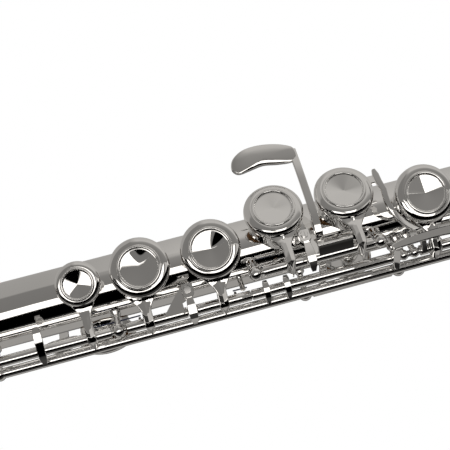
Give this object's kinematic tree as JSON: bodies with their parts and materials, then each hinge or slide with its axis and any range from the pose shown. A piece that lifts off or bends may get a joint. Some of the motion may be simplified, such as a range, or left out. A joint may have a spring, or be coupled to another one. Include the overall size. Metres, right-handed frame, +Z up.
{
  "type": "concert flute",
  "caption": "Closed-hole concert flute with offset G keys and pointed key arms: head joint, body and C foot with hinged keys on steel rods.",
  "frame": {"origin": "on the tube axis at the open end of the foot joint", "axes": "+X along the tube from head joint to foot, +Z up through the keys, -Y towards the player and the hinge rods"},
  "size_m": [0.6605, 0.0579, 0.04],
  "materials": {
    "tube_plate": "polished plating over drawn tube",
    "key_plate": "polished plating on cast and soldered keywork",
    "steel": "turned hinge and screw steel",
    "spring_steel": "blued needle springs",
    "pad_skin": "amber skin over felt",
    "cork": "natural cork"
  },
  "bodies": {
    "body": {"body_tube": "tube_plate", "barrel": "tube_plate", "rod_rib": "tube_plate", "posts": "key_plate", "needle_springs": "spring_steel", "main_steels": "steel", "g_steel": "steel", "back_steels": "steel"},
    "head_joint": {"head_tube": "tube_plate", "riser": "tube_plate", "lip_plate": "key_plate"},
    "crown": {"crown": "key_plate"},
    "stopper": {"stopper_cork": "cork", "stopper_screw": "steel"},
    "c_key": {"c_key": "key_plate", "c_sharp_pad": "pad_skin"},
    "b_flat_key": {"b_flat_key": "key_plate", "b_flat_pad": "pad_skin"},
    "a_key": {"a_key": "key_plate", "a_pad": "pad_skin", "a_screw": "steel"},
    "upper_g_key": {"upper_g_key": "key_plate", "upper_g_pad": "pad_skin", "g_screw": "steel"},
    "lower_g_key": {"lower_g_key": "key_plate", "lower_g_pad": "pad_skin"},
    "g_sharp_key": {"g_sharp_key": "key_plate", "g_sharp_pad": "pad_skin"},
    "split_e_lever": {"split_e_lever": "key_plate"},
    "side_b_flat_lever": {"side_b_flat_lever": "key_plate"},
    "f_sharp_key": {"f_sharp_key": "key_plate", "f_sharp_pad": "pad_skin"},
    "f_key": {"f_key": "key_plate", "f_pad": "pad_skin", "f_screw": "steel"},
    "e_key": {"e_key": "key_plate", "e_pad": "pad_skin"},
    "d_key": {"d_key": "key_plate", "d_pad": "pad_skin"},
    "thumb_b_key": {"thumb_b_key": "key_plate", "thumb_b_pad": "pad_skin"},
    "thumb_b_flat_lever": {"thumb_b_flat_lever": "key_plate"},
    "d_trill_key": {"d_trill_key": "key_plate", "d_trill_pad": "pad_skin"},
    "d_sharp_trill_key": {"d_sharp_trill_key": "key_plate", "d_sharp_trill_pad": "pad_skin"},
    "foot_joint": {"foot_tube": "tube_plate", "foot_posts": "key_plate", "foot_steel": "steel"},
    "foot_d_sharp_key": {"foot_d_sharp_key": "key_plate", "foot_d_sharp_pad": "pad_skin"},
    "foot_c_sharp_key": {"foot_c_sharp_key": "key_plate", "foot_c_sharp_pad": "pad_skin"},
    "foot_c_key": {"foot_c_key": "key_plate", "foot_c_pad": "pad_skin"},
    "foot_c_sharp_roller": {"foot_c_sharp_roller": "key_plate"},
    "foot_c_roller": {"foot_c_roller": "key_plate"}
  },
  "joints": [
    {"name": "head_tuning_slide", "type": "slide", "parent": "body", "child": "head_joint", "axis": [-1, 0, 0], "range_m": [0, 0.015]},
    {"name": "crown_turn", "type": "hinge", "parent": "head_joint", "child": "crown", "pos_m": [-0.655, 0, 0], "axis": [1, 0, 0], "range_deg": [-360, 360]},
    {"name": "stopper_slide", "type": "slide", "parent": "head_joint", "child": "stopper", "axis": [1, 0, 0], "range_m": [-0.0008, 0.0008]},
    {"name": "c_key_hinge", "type": "hinge", "parent": "body", "child": "c_key", "pos_m": [-0.345, -0.0158, 0.008], "axis": [1, 0, 0], "range_deg": [-10, 0]},
    {"name": "a_key_hinge", "type": "hinge", "parent": "body", "child": "a_key", "pos_m": [-0.289, -0.0158, 0.008], "axis": [1, 0, 0], "range_deg": [-10, 0]},
    {"name": "b_flat_key_hinge", "type": "hinge", "parent": "body", "child": "b_flat_key", "pos_m": [-0.309, -0.0158, 0.008], "axis": [1, 0, 0], "range_deg": [-10, 0]},
    {"name": "upper_g_key_hinge", "type": "hinge", "parent": "body", "child": "upper_g_key", "pos_m": [-0.267, -0.01118, 0.01373], "axis": [1, 0, 0], "range_deg": [-10, 0]},
    {"name": "lower_g_key_hinge", "type": "hinge", "parent": "body", "child": "lower_g_key", "pos_m": [-0.248, -0.01118, 0.01373], "axis": [1, 0, 0], "range_deg": [-10, 0]},
    {"name": "g_sharp_key_hinge", "type": "hinge", "parent": "body", "child": "g_sharp_key", "pos_m": [-0.247, -0.01698, -0.0044], "axis": [1, 0, 0], "range_deg": [-8, 0]},
    {"name": "side_b_flat_hinge", "type": "hinge", "parent": "body", "child": "side_b_flat_lever", "pos_m": [-0.256, -0.0158, 0.008], "axis": [1, 0, 0], "range_deg": [-6, 0]},
    {"name": "f_key_hinge", "type": "hinge", "parent": "body", "child": "f_key", "pos_m": [-0.194, -0.0158, 0.008], "axis": [1, 0, 0], "range_deg": [-10, 0]},
    {"name": "f_sharp_key_hinge", "type": "hinge", "parent": "body", "child": "f_sharp_key", "pos_m": [-0.216, -0.0158, 0.008], "axis": [1, 0, 0], "range_deg": [-10, 0]},
    {"name": "e_key_hinge", "type": "hinge", "parent": "body", "child": "e_key", "pos_m": [-0.166, -0.0158, 0.008], "axis": [1, 0, 0], "range_deg": [-10, 0]},
    {"name": "split_e_hinge", "type": "hinge", "parent": "body", "child": "split_e_lever", "pos_m": [-0.2254, -0.0158, 0.008], "axis": [1, 0, 0], "range_deg": [-5, 0]},
    {"name": "d_key_hinge", "type": "hinge", "parent": "body", "child": "d_key", "pos_m": [-0.142, -0.0158, 0.008], "axis": [1, 0, 0], "range_deg": [-10, 0]},
    {"name": "thumb_b_key_hinge", "type": "hinge", "parent": "body", "child": "thumb_b_key", "pos_m": [-0.323, -0.00321, -0.01724], "axis": [1, 0, 0], "range_deg": [-7, 0]},
    {"name": "thumb_b_flat_hinge", "type": "hinge", "parent": "body", "child": "thumb_b_flat_lever", "pos_m": [-0.339, -0.00321, -0.01724], "axis": [1, 0, 0], "range_deg": [-5, 0]},
    {"name": "d_trill_hinge", "type": "hinge", "parent": "body", "child": "d_trill_key", "pos_m": [-0.277, -0.0184, 0.004], "axis": [1, 0, 0], "range_deg": [0, 8]},
    {"name": "d_sharp_trill_hinge", "type": "hinge", "parent": "body", "child": "d_sharp_trill_key", "pos_m": [-0.274, -0.0184, 0.004], "axis": [1, 0, 0], "range_deg": [0, 8]},
    {"name": "foot_joint_turn", "type": "hinge", "parent": "body", "child": "foot_joint", "pos_m": [-0.12, 0, 0], "axis": [1, 0, 0], "range_deg": [-30, 30]},
    {"name": "foot_d_sharp_hinge", "type": "hinge", "parent": "foot_joint", "child": "foot_d_sharp_key", "pos_m": [-0.106, -0.0158, 0.008], "axis": [1, 0, 0], "range_deg": [0, 9]},
    {"name": "foot_c_sharp_hinge", "type": "hinge", "parent": "foot_joint", "child": "foot_c_sharp_key", "pos_m": [-0.077, 0.0158, 0.008], "axis": [1, 0, 0], "range_deg": [0, 10]},
    {"name": "foot_c_hinge", "type": "hinge", "parent": "foot_joint", "child": "foot_c_key", "pos_m": [-0.062, 0.0158, 0.008], "axis": [1, 0, 0], "range_deg": [0, 10]},
    {"name": "foot_c_sharp_roller_spin", "type": "hinge", "parent": "foot_c_sharp_key", "child": "foot_c_sharp_roller", "pos_m": [-0.0947, -0.02317, 0.01792], "axis": [1, 0, 0], "continuous": true},
    {"name": "foot_c_roller_spin", "type": "hinge", "parent": "foot_c_key", "child": "foot_c_roller", "pos_m": [-0.0947, -0.0278, 0.01873], "axis": [1, 0, 0], "continuous": true}
  ],
  "couplings": [
    {"joint": "stopper_slide", "follows": "crown_turn", "m_per_rad": 0.000127},
    {"joint": "b_flat_key_hinge", "follows": "a_key_hinge", "ratio": 1},
    {"joint": "lower_g_key_hinge", "follows": "upper_g_key_hinge", "ratio": 1},
    {"joint": "f_sharp_key_hinge", "follows": "f_key_hinge", "ratio": 1},
    {"joint": "split_e_hinge", "follows": "e_key_hinge", "ratio": 0.5}
  ]
}
